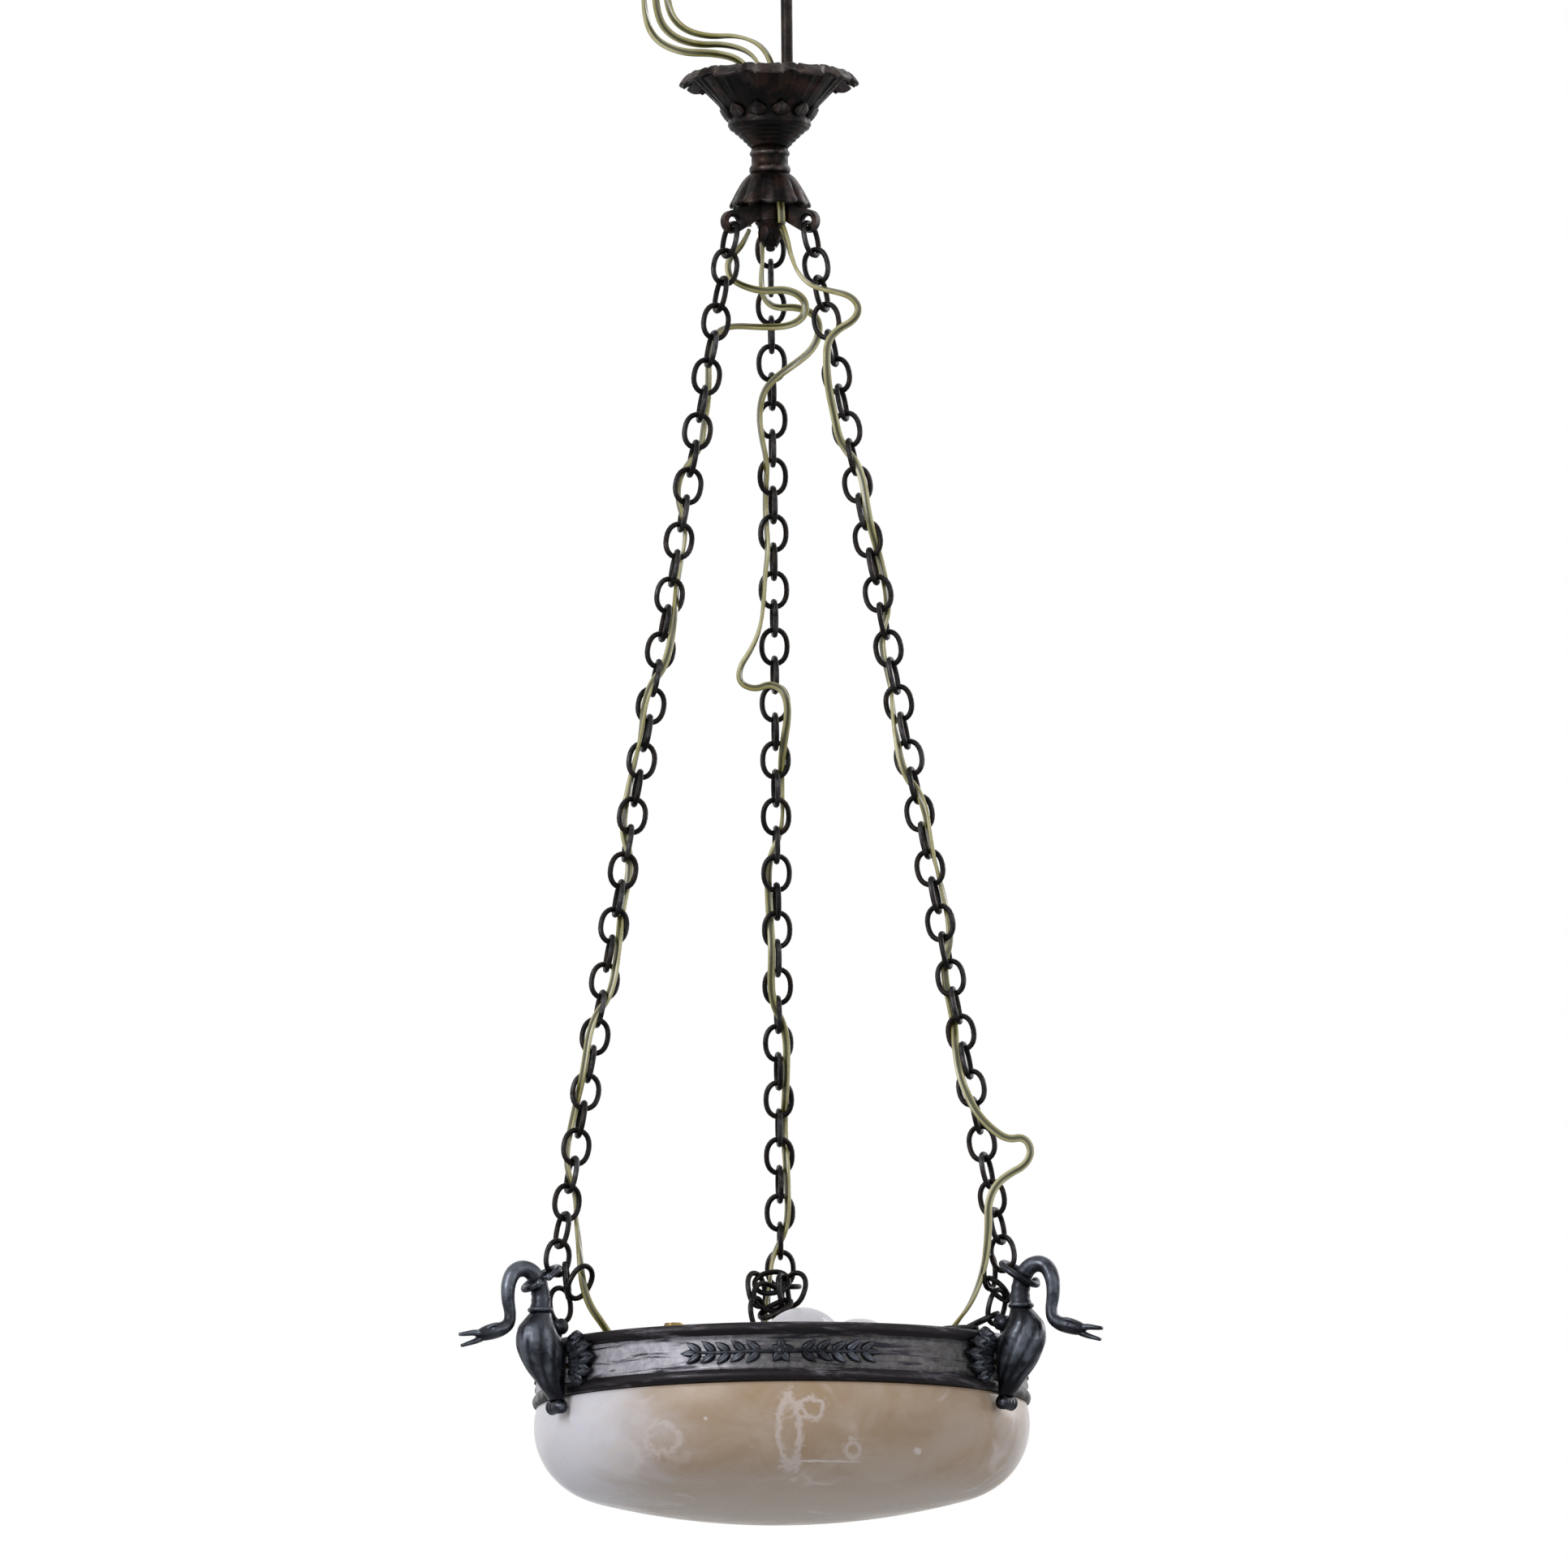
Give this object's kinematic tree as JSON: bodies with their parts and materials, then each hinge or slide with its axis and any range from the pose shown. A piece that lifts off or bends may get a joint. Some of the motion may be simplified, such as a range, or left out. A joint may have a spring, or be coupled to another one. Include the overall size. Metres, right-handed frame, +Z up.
{
  "type": "alabaster bowl pendant",
  "caption": "Alabaster bowl pendant in bronze gallery ring, hung by link chains from swan mounts to a husk and leafy canopy; sways on its chains",
  "frame": {"origin": "where the ceiling hook bears, at the inner top of the pendant's own hook", "axes": "+Z up along the pendant's axis, +X to the right and +Y away from the viewer, toward the back chain"},
  "size_m": [0.4398, 0.4257, 1.0869],
  "materials": {
    "patinated_bronze": "dark brown patina, worn pale on the highlights",
    "chain_bronze": "dark bronzed wire",
    "alabaster": "polished translucent alabaster with brown veins",
    "felt": "wool felt",
    "plated_steel": "zinc plated",
    "black_moulding": "moulded phenolic",
    "frosted_glass": "frosted",
    "bulb_cap": "spun",
    "porcelain": "glazed",
    "brass_screws": "turned",
    "forged_iron": "forged and blackened"
  },
  "bodies": {
    "hub": {"hanging_hook": "forged_iron", "canopy_crown": "patinated_bronze", "crown_strap": "forged_iron", "crown_nut": "forged_iron", "neck_tube": "patinated_bronze", "husk_bell": "patinated_bronze", "lug_hub": "patinated_bronze", "finial": "patinated_bronze", "terminal_block": "porcelain", "terminal_screws": "brass_screws"},
    "upper_left": {"top_link_left": "chain_bronze"},
    "upper_right": {"top_link_right": "chain_bronze"},
    "upper_back": {"top_link_back": "chain_bronze"},
    "hanging_left": {"chain_left": "chain_bronze"},
    "hanging_right": {"chain_right": "chain_bronze"},
    "hanging_back": {"chain_back": "chain_bronze"},
    "lower_back": {"bottom_link_back": "chain_bronze"},
    "bowl": {"gallery_ring": "patinated_bronze", "alabaster_bowl": "alabaster", "rim_screws": "brass_screws", "swan_screws": "brass_screws", "felt_pad": "felt", "cluster_plate": "plated_steel", "holder_brackets": "plated_steel", "laurel_right": "patinated_bronze", "laurel_left": "patinated_bronze", "laurel_front": "patinated_bronze", "neck_ring_left": "chain_bronze", "swan_neck_left": "patinated_bronze", "swan_body_left": "patinated_bronze", "neck_ring_right": "chain_bronze", "swan_neck_right": "patinated_bronze", "swan_body_right": "patinated_bronze", "neck_ring_back": "chain_bronze", "swan_neck_back": "patinated_bronze", "swan_body_back": "patinated_bronze", "lampholder_back": "black_moulding", "lampholder_left": "black_moulding", "lampholder_right": "black_moulding"},
    "bulb_back": {"bulb_glass_back": "frosted_glass", "bulb_cap_back": "bulb_cap"},
    "bulb_left": {"bulb_glass_left": "frosted_glass", "bulb_cap_left": "bulb_cap"},
    "bulb_right": {"bulb_glass_right": "frosted_glass", "bulb_cap_right": "bulb_cap"}
  },
  "joints": [
    {"name": "fore_sway", "type": "hinge", "parent": "hub", "child": "upper_back", "pos_m": [0, 0.03, -0.18145], "axis": [1, 0, 0], "range_deg": [-4, 4]},
    {"name": "side_sway", "type": "hinge", "parent": "upper_back", "child": "hanging_back", "pos_m": [0, 0.03426, -0.20264], "axis": [0, 1, 0], "range_deg": [-4, 4]},
    {"name": "fore_sway_left", "type": "hinge", "parent": "hub", "child": "upper_left", "pos_m": [-0.02598, -0.015, -0.18145], "axis": [1, 0, 0], "range_deg": [-4, 4]},
    {"name": "side_sway_left", "type": "hinge", "parent": "upper_left", "child": "hanging_left", "pos_m": [-0.02967, -0.01713, -0.20264], "axis": [0, 1, 0], "range_deg": [-4, 4]},
    {"name": "fore_sway_right", "type": "hinge", "parent": "hub", "child": "upper_right", "pos_m": [0.02598, -0.015, -0.18145], "axis": [1, 0, 0], "range_deg": [-4, 4]},
    {"name": "side_sway_right", "type": "hinge", "parent": "upper_right", "child": "hanging_right", "pos_m": [0.02967, -0.01713, -0.20264], "axis": [0, 1, 0], "range_deg": [-4, 4]},
    {"name": "side_level", "type": "hinge", "parent": "hanging_back", "child": "lower_back", "pos_m": [0, 0.1737, -0.89548], "axis": [0, 1, 0], "range_deg": [-1, 1]},
    {"name": "fore_level", "type": "hinge", "parent": "lower_back", "child": "bowl", "pos_m": [0, 0.177, -0.91188], "axis": [1, 0, 0], "range_deg": [-1, 1]},
    {"name": "bulb_back_turn", "type": "hinge", "parent": "bowl", "child": "bulb_back", "pos_m": [0.0099, 0.02512, -1.05237], "axis": [0.051, 0.1295, 0.9903], "continuous": true},
    {"name": "bulb_left_turn", "type": "hinge", "parent": "bowl", "child": "bulb_left", "pos_m": [-0.0267, -0.00399, -1.05237], "axis": [-0.6089, -0.091, 0.788], "continuous": true},
    {"name": "bulb_right_turn", "type": "hinge", "parent": "bowl", "child": "bulb_right", "pos_m": [0.01681, -0.02113, -1.05237], "axis": [0.3833, -0.4818, 0.788], "continuous": true}
  ],
  "couplings": [
    {"joint": "fore_sway_left", "follows": "fore_sway", "ratio": 1},
    {"joint": "side_sway_left", "follows": "side_sway", "ratio": 0.99544},
    {"joint": "fore_sway_right", "follows": "fore_sway", "ratio": 1},
    {"joint": "side_sway_right", "follows": "side_sway", "ratio": 0.99544},
    {"joint": "side_level", "follows": "side_sway", "ratio": -0.19726},
    {"joint": "fore_level", "follows": "fore_sway", "ratio": -0.16949}
  ]
}
